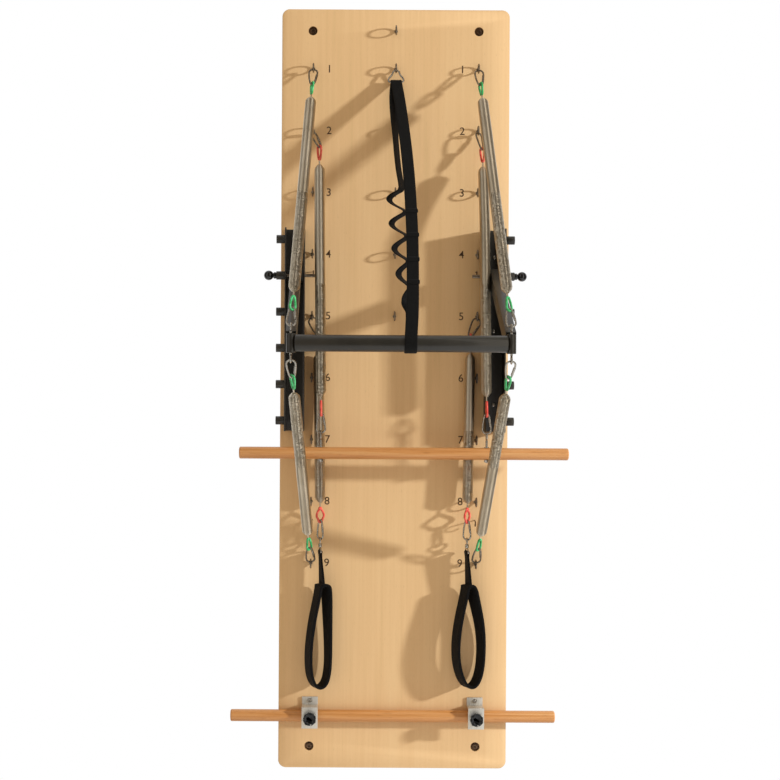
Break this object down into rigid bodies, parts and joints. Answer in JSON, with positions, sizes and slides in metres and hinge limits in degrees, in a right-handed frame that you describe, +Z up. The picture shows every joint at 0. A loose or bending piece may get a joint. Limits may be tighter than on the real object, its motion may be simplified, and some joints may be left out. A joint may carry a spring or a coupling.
{
  "type": "wall-mounted pilates tower unit",
  "caption": "Tall plywood wall board with rows of eye bolts, extension springs on snap hooks, a swinging push-through bar on two arms, a roll-down bar, hand loops and a clamped foot bar",
  "frame": {"origin": "Middle of the board's back face, which lies on the wall", "axes": "+X is the viewer's right seen from the front, +Y points into the wall, +Z is up"},
  "size_m": [0.873, 0.4487, 2],
  "materials": {
    "plywood": "clear satin lacquer on birch plywood",
    "beech": "oiled hardwood dowel",
    "black_steel": "satin black powder coat",
    "zinc": "bright zinc plate",
    "spring_steel": "nickel-plated spring wire",
    "black_plastic": "glossy black thermoset knobs",
    "webbing": "black nylon webbing",
    "brushed_plate": "brushed steel strip"
  },
  "bodies": {
    "tower": {"board": "plywood", "side_channel_left": "black_steel", "side_channel_right": "black_steel", "strap_ring": "zinc", "safety_strap": "webbing", "upper_spring_left": "spring_steel", "upper_spring_right": "spring_steel", "lower_spring_left": "spring_steel", "lower_spring_right": "spring_steel", "handle_spring_left": "spring_steel", "handle_spring_right": "spring_steel", "foot_bar": "beech", "foot_clamp_left": "brushed_plate", "foot_clamp_right": "brushed_plate", "eye_bolt_left_1": "zinc", "eye_bolt_left_2": "zinc", "eye_bolt_left_3": "zinc", "eye_bolt_left_4": "zinc", "eye_bolt_left_5": "zinc", "eye_bolt_left_6": "zinc", "eye_bolt_left_7": "zinc", "eye_bolt_left_8": "zinc", "eye_bolt_left_9": "zinc", "eye_bolt_right_1": "zinc", "eye_bolt_right_2": "zinc", "eye_bolt_right_3": "zinc", "eye_bolt_right_4": "zinc", "eye_bolt_right_5": "zinc", "eye_bolt_right_6": "zinc", "eye_bolt_right_7": "zinc", "eye_bolt_right_8": "zinc", "eye_bolt_right_9": "zinc", "eye_bolt_middle_1": "zinc", "eye_bolt_middle_2": "zinc", "eye_bolt_middle_3": "zinc", "eye_bolt_middle_4": "zinc", "eye_bolt_middle_5": "zinc", "eye_bolt_top": "zinc"},
    "push_bar": {"push_crossbar": "black_steel", "push_arm_left": "black_steel", "push_arm_right": "black_steel", "end_post_left": "black_steel", "end_post_right": "black_steel", "upper_hook_left": "zinc", "upper_hook_right": "zinc", "lower_hook_left": "zinc", "lower_hook_right": "zinc"},
    "pin_left": {"axle_pin_left": "black_plastic"},
    "pin_right": {"axle_pin_right": "black_plastic"},
    "knob_left": {"clamp_knob_left": "black_plastic"},
    "knob_right": {"clamp_knob_right": "black_plastic"},
    "roll_springs": {"roll_spring_left": "spring_steel", "roll_spring_right": "spring_steel"},
    "roll_bar": {"roll_down_bar": "beech", "roll_bar_hook_left": "zinc", "roll_bar_hook_right": "zinc"},
    "hand_loop_left": {"swivel_hook_left": "zinc", "handle_left": "webbing"},
    "hand_loop_right": {"swivel_hook_right": "zinc", "handle_right": "webbing"}
  },
  "joints": [
    {"name": "push_bar_swing", "type": "hinge", "parent": "tower", "child": "push_bar", "pos_m": [0, -0.072, 0.2936], "axis": [-1, 0, 0], "range_deg": [-20, 25], "stiffness_Nm_per_rad": 60, "springref_deg": 8.02, "deforming": ["upper_spring_left", "upper_spring_right", "lower_spring_left", "lower_spring_right", "safety_strap"]},
    {"name": "pin_left_pull", "type": "slide", "parent": "tower", "child": "pin_left", "axis": [-1, 0, 0], "range_m": [0, 0.09]},
    {"name": "pin_right_pull", "type": "slide", "parent": "tower", "child": "pin_right", "axis": [1, 0, 0], "range_m": [0, 0.09]},
    {"name": "knob_left_turn", "type": "hinge", "parent": "tower", "child": "knob_left", "pos_m": [-0.217, -0.075, -0.859], "axis": [0, -1, 0], "continuous": true},
    {"name": "knob_right_turn", "type": "hinge", "parent": "tower", "child": "knob_right", "pos_m": [0.217, -0.075, -0.859], "axis": [0, -1, 0], "continuous": true},
    {"name": "roll_bar_swing", "type": "hinge", "parent": "tower", "child": "roll_springs", "pos_m": [0, -0.0553, 0.633], "axis": [-1, 0, 0], "range_deg": [0, 4]},
    {"name": "roll_bar_pull", "type": "slide", "parent": "roll_springs", "child": "roll_bar", "axis": [0, 0, -1], "range_m": [0, 0.08], "stiffness_N_per_m": 600, "springref_m": -0.009, "deforming": ["roll_spring_left", "roll_spring_right"]},
    {"name": "hand_loop_left_swing", "type": "hinge", "parent": "tower", "child": "hand_loop_left", "pos_m": [-0.192, -0.0546, -0.3433], "axis": [-1, 0, 0], "range_deg": [0, 60]},
    {"name": "hand_loop_right_swing", "type": "hinge", "parent": "tower", "child": "hand_loop_right", "pos_m": [0.192, -0.0546, -0.3433], "axis": [-1, 0, 0], "range_deg": [0, 60]}
  ]
}
